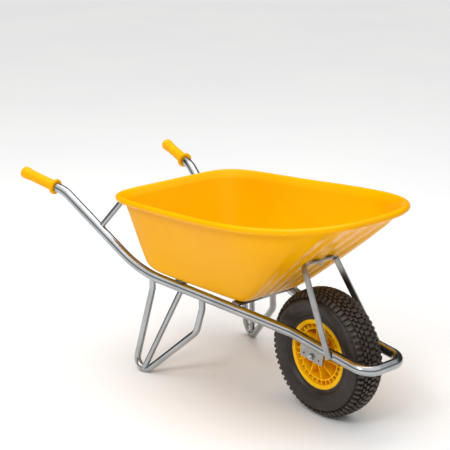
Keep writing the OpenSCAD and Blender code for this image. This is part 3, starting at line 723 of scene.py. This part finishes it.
    def rim_at(self, turn_deg: np.ndarray, radius: float) -> np.ndarray:
        """Points round the rolled rim, a circle carried along its centre line.

        Args:
            turn_deg: angle round the roll from its outer side, one row each.
            radius: radius of the circle.

        Returns:
            Rows by points by three.
        """
        p = self.round_point(np.ones(1))
        px, py = p[..., 0], p[..., 1]
        reach = np.where(px > 0, self.front_reach, self.rear_reach)
        power = np.where(px > 0, self.powers[2], self.powers[3])
        x = self.middle_x + px * reach
        y = py * self.rim_side(x)
        nx = np.sign(px) * np.abs(px) ** (power - 1) / reach
        ny = np.sign(py) * np.abs(py) ** (power - 1) / self.half
        size = np.hypot(nx, ny)
        a = np.radians(turn_deg)[:, None]
        return np.stack([x + nx / size * radius * np.cos(a), y + ny / size * radius * np.cos(a),
                         self.rim_z(x) + radius * np.sin(a)], 2)

    def build(self) -> bpy.types.Object:
        """Builds the tray as one closed shell, ring after ring, and dresses it.

        Returns:
            The tray.
        """
        thin, thick = self.roll - self.wall, self.roll
        low, rise = np.linspace(0, 1, 9), np.linspace(self.rounding, self.wall_top, 34)[1:]
        outside = self.rounding_at(low, 0.0)
        inside = self.rounding_at(low, self.wall) + [0, 0, self.wall]
        shrink = np.linspace(0.08, 1, 7)[:, None, None]
        outer_floor, inner_floor = (
            (1 - shrink[::-1]) * ring + shrink[::-1] * ring.mean(1, keepdims=True)
            for ring in (outside[:1], inside[:1]))
        lip_end = np.linspace(0, 1, 5)[1:-1, None, None]
        lip_in = self.rim_at(np.array([-60.0]), thin)
        lip_out = self.rim_at(np.array([-60.0]), thick)
        rings = np.concatenate([
            outer_floor[1:], outside, self.wall_at(rise, 0.0),
            self.rim_at(np.linspace(150, -60, 12), thin),
            lip_in + (lip_out - lip_in) * lip_end,
            self.rim_at(np.linspace(-60, 140, 22), thick),
            self.wall_at(rise[::-1], self.wall) + [0, 0, 1.0],
            inside[::-1], inner_floor[:0:-1]])
        rows, around = rings.shape[:2]
        points = np.concatenate([rings.reshape(-1, 3), outer_floor[:1].mean(1),
                                 inner_floor[:1].mean(1)])
        j = np.arange(around)
        k = (j + 1) % around
        last = (rows - 1) * around
        total = rows * around
        tris = np.concatenate([np.stack([j, k, np.full(around, total)], 1),
                               np.stack([last + k, last + j, np.full(around, total + 1)], 1)])
        tray = put_mesh("tray_shell", points, grid_faces(rows, around, False, True),
                        TRAY_YELLOW, tris, smooth_angle=60)
        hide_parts("tray")
        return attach(tray, FRAME_BODY)


# ---- the frame


@dataclass
class Frame:
    """Frame tube, legs, braces and stays as smooth bent tubes.

    Attributes:
        grip_rise, grip_run: angle and length of the handle's last straight.
        leg_r, brace_r, stay_r: radii of the tubes.
        foot, knee: place of the foot (X, Y) and of the front knee (X, Z).
        leg_ends: where the leg meets the frame tube, rear and front, in X.
        stub, knee_splay: upright length under the tube, and the knee's share of splay.
        leg_bends, frame_bends: bend radii in order along each tube.
        rear_bar_x, brace_foot, brace_clear: where each brace runs.
        stay_x, stay_head: where each stay leaves the handle and meets the rim.
        seat: gap left between seated pieces.
        tip_x, grip_end, grip_round, grip_cap: the grip's outer end.
    """

    lines: Lines = LINES
    grip_rise: float = 10.9
    grip_run: float = 198.0
    leg_r: float = 11.0
    brace_r: float = 9.5
    stay_r: float = 9.5
    foot: tuple[float, float] = (-191.0, 257.0)
    knee: tuple[float, float] = (40.0, 178.0)
    leg_ends: tuple[float, float] = (-150.0, 53.0)
    stub: float = 27.0
    knee_splay: float = 0.43
    leg_bends: tuple[float, float, float, float] = (30.0, 35.0, 45.0, 30.0)
    foot_bend: float = 35.0
    rear_bar_x: float = -43.0
    brace_foot: tuple[float, float] = (47.0, 17.0)
    brace_clear: float = 7.0
    stay_x: float = -374.0
    stay_head: tuple[float, float] = (-298.5, 180.0)
    seat: float = 0.3
    tip_x: float = -721.0
    grip_end: float = 20.5
    grip_round: float = 8.0
    grip_cap: float = 4.0
    frame_bends: tuple[float, float, float, float] = (110.0, 370.0, 110.0, 50.0)

    def grip_points(self) -> tuple[np.ndarray, np.ndarray, np.ndarray]:
        """The grip's direction, its bend from the handle and its far end."""
        d = np.array([-1, tan_deg(self.lines.spread), tan_deg(self.grip_rise)])
        d = d / np.linalg.norm(d)
        flat_r = self.grip_end - self.grip_round
        tip_x = (self.tip_x + flat_r * math.sqrt(1 - d[0] ** 2)
                 + self.grip_round * (1 + d[0]))
        x = tip_x - self.grip_run * d[0]
        bend = np.array([x, float(self.lines.run_y(x)), self.lines.handle_z(x)])
        return d, bend, bend + self.grip_run * d

    def frame_path(self) -> np.ndarray:
        """Centre line of the one tube that makes both handles and the nose."""
        d, bend, tip = self.grip_points()
        ln = self.lines
        left = np.array([tip - self.grip_cap * d, bend,
                         [ln.bend_x, float(ln.run_y(ln.bend_x)), ln.low_z(ln.bend_x)],
                         [ln.spread_x, ln.nose_half, ln.low_z(ln.spread_x)],
                         [ln.nose_x, ln.nose_half, ln.low_z(ln.nose_x)]])
        right = left[::-1] * [1, -1, 1]
        bends = [*self.frame_bends, *self.frame_bends[::-1]]
        return BentPath(np.concatenate([left, right]), bends, 3.0).points()

    def leg_corners(self) -> np.ndarray:
        """Corners of the left leg's centre line, with its foot bend on the floor."""
        ln = self.lines
        tops = np.array([[x, float(ln.run_y(x)), ln.run_z(x)] for x in self.leg_ends])
        stubs = tops - [0, 0, ln.tube_r + self.stub]
        share = (stubs[1, 2] - self.knee[1]) / stubs[1, 2] * self.knee_splay
        knee = np.array([self.knee[0], stubs[1, 1] + share * (self.foot[1] - stubs[1, 1]),
                         self.knee[1]])
        foot = np.array([self.foot[0], self.foot[1], 0.0])
        for _ in range(12):
            foot[2] -= self.lowest(stubs[0], foot, knee)
        return np.array([tops[0], stubs[0], foot, knee, stubs[1], tops[1]])

    def lowest(self, p: np.ndarray, q: np.ndarray, s: np.ndarray) -> float:
        """Lowest height of the leg's surface at its foot bend."""
        d0, d1 = (v / np.linalg.norm(v) for v in (q - p, s - q))
        turn = math.acos(float(d0 @ d1))
        inward = d1 - d0 * float(d0 @ d1)
        inward /= np.linalg.norm(inward)
        axis = np.cross(d0, d1)
        axis /= np.linalg.norm(axis)
        centre = q - d0 * self.foot_bend * math.tan(turn / 2) + inward * self.foot_bend
        return float(centre[2] - self.foot_bend * math.sqrt(1 - axis[2] ** 2) - self.leg_r)

    def build(self) -> list[bpy.types.Object]:
        """Builds every tube of the frame.

        Returns:
            The pieces.
        """
        up, across = np.array([0, 0, 1.0]), np.array([0, 1.0, 0])
        out = [tube_piece("frame_tube_bent", self.frame_path(), up, self.lines.tube_r,
                          ZINC_TUBE, around=72)]
        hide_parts("frame_tube")
        corners = self.leg_corners()
        ln = self.lines
        bar_x = self.rear_bar_x
        under_bar = ln.low_z(bar_x) + ln.tube_r / math.cos(math.radians(ln.low_rise)) - self.seat
        bar_point, bar_normal = np.array([bar_x, 0, under_bar]), np.array([ln.slope, 0, 1.0])
        brace_y = float(ln.run_y(bar_x)) - ln.tube_r - self.brace_r - self.brace_clear
        brace = np.array([[self.foot[0] + self.brace_foot[0], self.foot[1] - self.brace_foot[1],
                           self.leg_r], [bar_x, brace_y, ln.low_z(bar_x) + ln.tube_r]])
        stay_top = Tray().rim_z(self.stay_head[0]) - RIM_ROLL - self.seat
        stay = np.array([[self.stay_x, float(ln.run_y(self.stay_x)), ln.handle_z(self.stay_x)],
                         [*self.stay_head, stay_top]])
        for name, sign in (("left", 1), ("right", -1)):
            flip = np.array([1, sign, 1])
            leg = tube_piece(f"{name}_leg_bent",
                             BentPath(corners * flip, list(self.leg_bends), 4.0, 20.0).points(),
                             across, self.leg_r, ZINC_TUBE)
            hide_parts(f"{name}_leg")
            rod = tube_piece(f"{name}_brace_tube", np.linspace(brace[0], brace[1], 9) * flip,
                             across, self.brace_r, ZINC_TUBE, (None, (bar_point, bar_normal)))
            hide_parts(f"{name}_leg_brace")
            prop = tube_piece(f"{name}_stay_tube", np.linspace(stay[0], stay[1], 9) * flip,
                              across, self.stay_r, ZINC_TUBE,
                              (None, (stay[1] * flip, np.array([0, 0, 1.0]))))
            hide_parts(f"{name}_tray_stay")
            out += [leg, rod, prop]
        for piece in out:
            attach(piece, FRAME_BODY)
        return out


@dataclass
class Grip:
    """A moulded grip with a bulged end and a round hand guard.

    Attributes:
        body, end, guard: radii of the grip's middle, its end and its guard.
        guard_thick, length: the guard's thickness and the grip's length.
        tube_r, plug: radius of the hole and how deep it is shown.
    """

    body: float = 18.5
    end: float = 20.5
    guard: float = 26.5
    guard_thick: float = 11.0
    length: float = 152.0
    tube_r: float = 16.2
    plug: float = 6.0

    def profile(self) -> np.ndarray:
        """The grip's outline as (radius, distance from its far end)."""
        inner = self.length + self.guard_thick / 2
        start = inner - self.guard_thick
        return rounded_profile([
            (2, 0.2, 0), (self.end - 0.1, 0.2, 8), (self.end, 20, 8), (self.body, 32, 10),
            (self.body - 0.4, 80, 20), (self.body, start - 2, 6), (self.guard, start, 4),
            (self.guard, inner, 4), (self.body, inner, 3),
            (self.tube_r, inner + 0.01, 0), (self.tube_r, inner - self.plug, 0),
            (2, inner - self.plug, 0)], 6)

    def build(self, frame: Frame) -> list[bpy.types.Object]:
        """Builds both grips on the ends of the handles.

        Args:
            frame: gives the grips' direction and far end.

        Returns:
            The pieces.
        """
        d, _, tip = frame.grip_points()
        x = np.array([0, 0, 1.0])
        x = x - d * float(x @ d)
        x /= np.linalg.norm(x)
        axes = np.stack([x, np.cross(-d, x), -d])
        local = turned(self.profile(), 72)
        steps, across = local.shape[:2]
        poles = np.array([[0, 0, local[0, 0, 2]], [0, 0, local[0, -1, 2]]])
        points = np.concatenate([local.reshape(-1, 3), poles]) @ axes + tip
        quads = grid_faces(steps, across, True, False)
        near = np.arange(steps) * across
        far = near + across - 1
        pole = np.full(steps, steps * across)
        tris = np.concatenate([np.stack([np.roll(near, -1), near, pole], 1),
                               np.stack([far, np.roll(far, -1), pole + 1], 1)])
        out = []
        for name, sign in (("left", 1), ("right", -1)):
            piece = put_mesh(f"{name}_grip_moulded", points * [1, sign, 1], quads, GRIP_YELLOW,
                             tris, smooth_angle=50)
            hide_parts(f"{name}_grip")
            out.append(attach(piece, FRAME_BODY))
        return out


# ---- the wheel


@dataclass
class Tyre:
    """A block-tread pneumatic tyre on the axle's line.

    Attributes:
        radius, half: outer radius and half width.
        rim_r, bead_r, bead_half: where the tyre sits on the rim.
        power: squareness of the section.
        depth, pitches: the tread blocks' height and how many stand in a row.
        bare: distance of the bare sidewall in from the tyre's outer face.
        shoulder: section angle, counted from the axle's line, where the tread begins.
        block_taper: a block's size at its face, as a share of its foot.
        block_root: how far a block reaches into the carcass, as a share of its height.
    """

    lines: Lines = LINES
    radius: float = 200.0
    half: float = 56.5
    rim_r: float = 109.0
    power: float = 2.6
    bead_half: float = 36.2
    bead_r: float = 101.8
    depth: float = 8.0
    pitches: int = 64
    bare: float = 1.6
    shoulder: float = 33.0
    block_taper: float = 0.86
    block_root: float = -0.2

    def section(self, angle: np.ndarray, depth: np.ndarray) -> tuple[np.ndarray, np.ndarray]:
        """The tyre's rounded section at an angle, drawn in by a depth.

        It is a superellipse: radius m + (R - m - d) sin^(2/p) and half width
        (w - d) cos^(2/p), with the signs of the sine and the cosine.

        Args:
            angle: angle in degrees from the left side, with 90 at the crown.
            depth: distance in from the outer face.

        Returns:
            Radius and place across.
        """
        mid = self.rim_r + (self.radius - self.rim_r) * 0.5
        s, c = sin_deg(angle), np.cos(np.radians(angle))
        e = 2 / self.power
        r = mid + (self.radius - mid - depth) * np.sign(s) * np.abs(s) ** e
        y = (self.half - depth) * np.sign(c) * np.abs(c) ** e
        return r, y

    def on_wheel(self, turn: np.ndarray, r: np.ndarray, y: np.ndarray) -> np.ndarray:
        """Places (turn in degrees, radius, place across) about the axle."""
        a = np.radians(turn)
        return np.stack(np.broadcast_arrays(self.lines.axle_x + r * np.cos(a), y,
                                            self.lines.axle_z + r * np.sin(a)), -1)

    def carcass(self) -> bpy.types.Object:
        """The tyre's body: its section carried round the axle, with moulded rings."""
        angle = np.linspace(-50, 230, 113)
        sine = sin_deg(angle)
        crown = 1 / (1 + np.exp(-(np.abs(sine) * 90 - self.shoulder) / 3))
        up = np.where(sine > 0, crown, 0)
        off = np.abs(angle - 90)
        rings = sum(np.exp(-(((off - at) / wide) ** 2)) * high
                    for at, wide, high in ((84, 1.6, 0.8), (104, 1.4, 0.9), (122, 2.0, 1.2)))
        depth = self.bare + (self.depth - self.bare) * up - rings
        r, y = self.section(angle, depth)
        seat = [(self.rim_r + 1.2, 39.4), (self.rim_r + 0.9, self.bead_half),
                (self.bead_r, self.bead_half)]
        flank = np.array([(r_at, -y_at) for r_at, y_at in seat] + seat[::-1])
        r = np.concatenate([r, flank[:, 0]])
        y = np.concatenate([y, flank[:, 1]])
        turn = np.linspace(0, 360, 240, endpoint=False)[:, None]
        points = self.on_wheel(turn, r[None], y[None])
        return put_mesh("tyre_carcass", points.reshape(-1, 3),
                        grid_faces(240, len(r), True, True), TYRE_RUBBER, smooth_angle=45)

    def blocks(self) -> bpy.types.Object:
        """The tread blocks, each a small warped box that stands on the carcass.

        A block's point (a, b, c), each from -1 to 1 or 0 to 1, lies at its centre's turn
        plus a half lengths, at its centre's section angle plus b half widths, and at the
        outer face for c = 1 or at the carcass for c = 0.

        Returns:
            The blocks as one piece.
        """
        g = np.array([-1, -0.34, 0.34, 1.0])
        ga, gb = np.meshgrid(g, g, indexing="ij")
        edge = [(0, j) for j in range(3)] + [(i, 3) for i in range(3)] + [
            (3, j) for j in range(3, 0, -1)] + [(i, 0) for i in range(3, 0, -1)]
        taper, root = self.block_taper, self.block_root
        top = np.stack([ga.ravel() * taper, gb.ravel() * taper, np.ones(16)], 1)
        ring = np.array([[g[i], g[j]] for i, j in edge])
        rim = np.concatenate([np.c_[ring, np.full(12, taper)],
                              np.c_[ring * 1.1, np.full(12, root)]])
        local = np.concatenate([top, rim, [[0, 0, root]]])
        quads = [[i * 4 + j, (i + 1) * 4 + j, (i + 1) * 4 + j + 1, i * 4 + j + 1]
                 for i in range(3) for j in range(3)]
        for k in range(12):
            m = (k + 1) % 12
            a, b = edge[k][0] * 4 + edge[k][1], edge[m][0] * 4 + edge[m][1]
            quads += [[a, b, 16 + m, 16 + k], [16 + k, 16 + m, 28 + m, 28 + k]]
        quads += [[28 + k, 29 + k, 28 + (k + 2) % 12, 40] for k in range(0, 12, 2)]
        pitch = 360 / self.pitches
        # Each row: section angle, half width in degrees, half length and offset in pitches.
        rows = [(90.0, 5.4, 0.31, 0.0), (76.5, 4.6, 0.31, 0.5), (103.5, 4.6, 0.31, 0.5),
                (64.0, 4.2, 0.31, 0.0), (116.0, 4.2, 0.31, 0.0), (43.0, 13.0, 0.25, 0.5),
                (137.0, 13.0, 0.25, 0.5)]
        kinds = np.array(rows)
        base = np.repeat(kinds, self.pitches, 0)
        step = np.tile(np.arange(self.pitches), len(kinds))
        a, b, c = (local[None, :, k] for k in range(3))
        turn = (step[:, None] + base[:, 3:4] + a * base[:, 2:3]) * pitch
        angle = base[:, 0:1] + b * base[:, 1:2]
        fade = np.clip((np.abs(sin_deg(angle)) * 90 - 40) / 16, 0, 1)
        depth = (1 - c) * self.depth + (1 - fade) * 1.0
        r, y = self.section(angle, depth)
        points = self.on_wheel(turn, r, y)
        faces = np.array(quads)[None] + (np.arange(len(base)) * len(local))[:, None, None]
        faces = faces.reshape(-1, 4)
        # The blocks wear a lighter finish than the carcass: painted highlight on their tops and
        # painted shade in the gaps, besides scuffs and dust.
        return put_mesh("tyre_blocks", points.reshape(-1, 3), faces, TREAD_RUBBER,
                        smooth_angle=30)

    def build(self) -> list[bpy.types.Object]:
        """Builds the tyre and rides it on the wheel."""
        out = [self.carcass(), self.blocks()]
        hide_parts("tyre")
        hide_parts("tyre")
        for piece in out:
            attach(piece, WHEEL_BODY)
        return out


# ---- carried-over solids


@dataclass
class Hardware:
    """Dresses the loaded solids.

    Attributes:
        groups: each finish with the names of the solids that wear it.
    """

    groups: tuple[tuple[Finish, str], ...] = (
        (ZINC_TUBE, "frame_tube left_leg right_leg left_leg_brace right_leg_brace "
                    "left_tray_stay right_tray_stay"),
        (ZINC_PLATE, "front_cross_bar rear_cross_bar front_bracket left_axle_plate "
                     "right_axle_plate"),
        (ZINC_BOLT, "bracket_bolt bracket_nut floor_bolts floor_nuts axle_bolt axle_nut "
                    "axle_sleeve left_axle_spacer right_axle_spacer"),
        (TRAY_YELLOW, "tray"),
        (RIM_YELLOW, "wheel_rim"),
        (GRIP_YELLOW, "left_grip right_grip"),
        (TYRE_RUBBER, "tyre inner_tube"),
        (BRASS, "valve_stem"),
        (NYLON, "left_hub_bush right_hub_bush"),
    )

    def dress(self, nodes: dict[str, bpy.types.Object]) -> None:
        """Puts each solid's finish on it.

        Args:
            nodes: the loaded solids by name.
        """
        for finish, names in self.groups:
            for name in names.split():
                mesh = nodes[name].data
                mesh.materials.clear()
                mesh.materials.append(finish.make())
            LOG.info("%s: %d solids dressed", finish.name, len(names.split()))


# ---- the studio


@dataclass
class Studio:
    """Floor, light and camera."""

    camera_at: tuple[float, float, float] = (3.09891, -2.65578, 1.75837)
    tilt: float = 72.766
    heading: float = 49.53
    lens: float = 106.05

    def floor(self) -> None:
        """A wide matt white sheet under the tyre and the feet."""
        wide = 30000.0
        points = np.array([[-wide, -wide, 0], [wide, -wide, 0], [wide, wide, 0],
                           [-wide, wide, 0]])
        sheet = put_mesh("floor_sheet", points, np.array([[0, 1, 2, 3]]), CARD)

    def camera(self) -> None:
        """A long lens, a little above the tray's rim."""
        data = bpy.data.cameras.new("camera")
        data.lens = self.lens
        data.sensor_width = 36.0
        cam = bpy.data.objects.new("camera", data)
        cam.location = self.camera_at
        cam.rotation_euler = (math.radians(self.tilt), 0, math.radians(self.heading))
        bpy.context.scene.collection.objects.link(cam)
        bpy.context.scene.camera = cam

    def lamp(self, name: str, place: tuple[float, float, float], size: float,
             power: float) -> None:
        """A square soft box that faces the barrow's middle.

        Args:
            name: the lamp's name.
            place: where it hangs, in metres.
            size: its side, in metres.
            power: its power, in watts.
        """
        data = bpy.data.lights.new(name, "AREA")
        data.shape = "SQUARE"
        data.size = size
        data.energy = power
        lamp = bpy.data.objects.new(name, data)
        lamp.location = place
        aim = np.array(place) - np.array([0.0, 0.0, 0.35])
        flat = math.hypot(aim[0], aim[1])
        lamp.rotation_euler = (math.atan2(flat, aim[2]), 0, math.atan2(aim[0], -aim[1]))
        bpy.context.scene.collection.objects.link(lamp)

    def surroundings(self) -> None:
        """A white room with a darker strip low behind the barrow, for the tubes to show."""
        world = bpy.data.worlds.new("white_room")
        world.use_nodes = True
        tree = world.node_tree
        tree.nodes.clear()
        facing = add_node(tree, "ShaderNodeTexCoord").outputs["Generated"]
        axes = add_node(tree, "ShaderNodeSeparateXYZ", None, {0: facing})
        strip = ramp(tree, axes.outputs["Z"],
                     [(0.0, 0.2), (0.04, 0.01), (0.6, 0.03), (0.8, 1.0)])
        front = ramp(tree, axes.outputs["Z"], [(0.0, 0.2), (0.35, 0.24), (0.6, 1.0)])
        behind = add_node(tree, "ShaderNodeVectorMath", {"operation": "DOT_PRODUCT"},
                          {0: facing, 1: (-0.76, 0.65, 0.0)})
        share = ramp(tree, behind.outputs["Value"], [(0.0, 0.0), (0.35, 1.0)])
        tone = blend_colours(tree, share, front, strip)
        light = add_node(tree, "ShaderNodeBackground", None, {"Color": tone, "Strength": 1.25})
        add_node(tree, "ShaderNodeOutputWorld", None, {"Surface": light.outputs[0]})
        bpy.context.scene.world = world

    def build(self) -> None:
        """Sets the whole studio up."""
        self.floor()
        self.camera()
        self.surroundings()
        self.lamp("key_box", (1.2, -2.8, 3.0), 0.9, 36.0)
        self.lamp("top_box", (-0.4, 0.2, 3.6), 3.0, 50.0)
        bpy.context.scene.view_settings.view_transform = "Standard"
        LOG.info("studio set")


def main() -> None:
    """Builds the barrow's pieces in order."""
    logging.basicConfig(level=logging.INFO, format="%(name)s: %(message)s")
    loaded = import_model()
    Hardware().dress(loaded["nodes"])
    frame = Frame()
    made = [Tray().build(), *frame.build(), *Grip().build(frame), *Tyre().build()]
    for piece in made:
        LOG.info("%s: %d faces", piece.name, len(piece.data.polygons))
    Studio().build()


if __name__ == "__main__":
    main()
